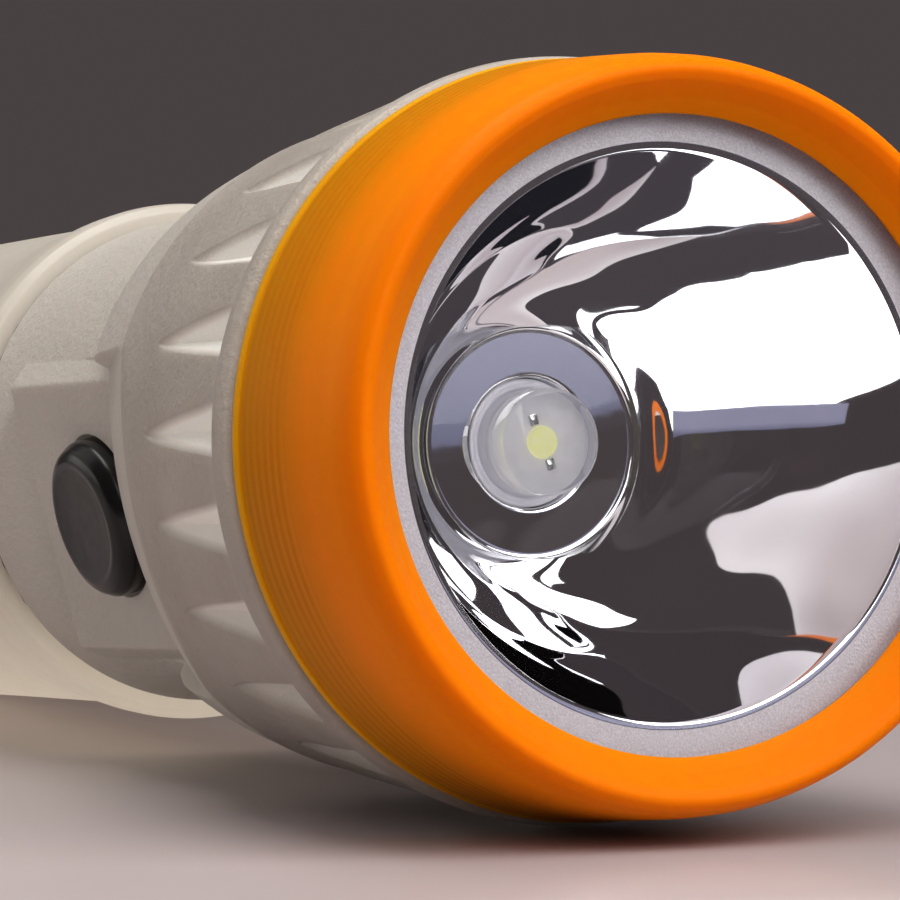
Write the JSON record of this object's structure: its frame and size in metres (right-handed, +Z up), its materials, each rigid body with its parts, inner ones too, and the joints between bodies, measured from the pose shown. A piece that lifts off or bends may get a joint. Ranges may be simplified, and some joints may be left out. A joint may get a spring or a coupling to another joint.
{
  "type": "hand crank flashlight",
  "caption": "Hand crank flashlight with an orange bezel, a frosted grip-notched head, a side push button, a folding crank and a geared generator inside.",
  "frame": {"origin": "middle of the base of the box around the whole part, on the table it lies on", "axes": "+Y towards the tail and the lens looking along -Y, +Z up from the table, +X towards the crank side; the long axis is tilted nose up by 3.2 degrees because the head is wider than the tail, and the button side is rolled 15 degrees below level"},
  "size_m": [0.0564, 0.1662, 0.0566],
  "materials": {
    "orange_plastic": "glossy",
    "frosted_plastic": "frosted, translucent",
    "cream_plastic": "satin",
    "clear_plastic": "clear",
    "black_rubber": "smooth",
    "black_plastic": "glossy",
    "chrome_coating": "mirror plated",
    "white_plastic": "matte",
    "steel": "bright",
    "aluminium": "satin",
    "circuit_board": "satin",
    "cell_can": "bright",
    "copper_wire": "enamelled",
    "magnet": "matte",
    "brass": "bright",
    "red_wire": "satin",
    "yellow_sleeve": "satin"
  },
  "bodies": {
    "root": {"bezel_ring": "orange_plastic", "front_lens": "clear_plastic", "lens_seal": "black_rubber", "reflector": "chrome_coating", "led": "clear_plastic", "led_board": "circuit_board", "led_screw_1": "steel", "led_screw_2": "steel", "head_shell": "frosted_plastic", "switch_body": "black_plastic", "switch_board": "circuit_board", "switch_screw_1": "steel", "switch_screw_2": "steel", "lamp_wire_red": "red_wire", "lamp_wire_black": "black_rubber", "neck_seal": "black_rubber", "rear_barrel": "cream_plastic", "tail_cap": "cream_plastic", "tail_screw_1": "steel", "tail_screw_2": "steel", "battery_cradle": "white_plastic", "battery_cell_1": "cell_can", "battery_cell_2": "cell_can", "battery_cell_3": "cell_can", "charge_board": "circuit_board", "rectifier": "black_plastic", "capacitor": "yellow_sleeve", "gear_frame": "white_plastic", "gear_cover": "white_plastic", "gearbox_screw_1": "steel", "gearbox_screw_2": "steel", "gearbox_screw_3": "steel", "gearbox_screw_4": "steel", "idler_axle": "steel", "generator_coil": "copper_wire", "generator_case": "steel", "crank_bushing": "white_plastic"},
    "crank": {"crank_arm": "frosted_plastic", "crank_shaft": "aluminium", "crank_gear": "white_plastic", "crank_screw": "steel", "knob_pin": "steel"},
    "idler": {"idler_gear": "white_plastic"},
    "rotor": {"rotor_pinion": "brass", "rotor_shaft": "steel", "rotor_magnet": "magnet"},
    "knob_hinge": {"knob_yoke": "white_plastic", "knob_screw": "steel"},
    "knob": {"knob_grip": "orange_plastic"},
    "button": {"switch_button": "black_plastic"}
  },
  "joints": [
    {"name": "crank_spin", "type": "hinge", "parent": "root", "child": "crank", "pos_m": [0.02125, 0.0628, 0.02694], "axis": [0.9659, 0.0146, 0.2584], "continuous": true},
    {"name": "idler_spin", "type": "hinge", "parent": "root", "child": "idler", "pos_m": [0.00483, 0.04657, 0.02345], "axis": [0.9659, 0.0146, 0.2584], "continuous": true},
    {"name": "rotor_spin", "type": "hinge", "parent": "root", "child": "rotor", "pos_m": [0.00245, 0.034, 0.02145], "axis": [0.9659, 0.0146, 0.2584], "continuous": true},
    {"name": "knob_fold", "type": "hinge", "parent": "crank", "child": "knob_hinge", "pos_m": [0.02318, 0.0189, 0.02994], "axis": [0.2588, -0.0547, -0.9644], "range_deg": [0, 90]},
    {"name": "knob_spin", "type": "hinge", "parent": "knob_hinge", "child": "knob", "pos_m": [0.02318, 0.02888, 0.02938], "axis": [0, 0.9984, -0.0566], "continuous": true},
    {"name": "button_press", "type": "slide", "parent": "root", "child": "button", "axis": [0.9659, 0.0146, 0.2584], "range_m": [0, 0.0015], "stiffness_N_per_m": 800, "springref_m": -0.0005}
  ],
  "couplings": [
    {"joint": "idler_spin", "follows": "crank_spin", "ratio": -3},
    {"joint": "rotor_spin", "follows": "crank_spin", "ratio": 7.8}
  ]
}
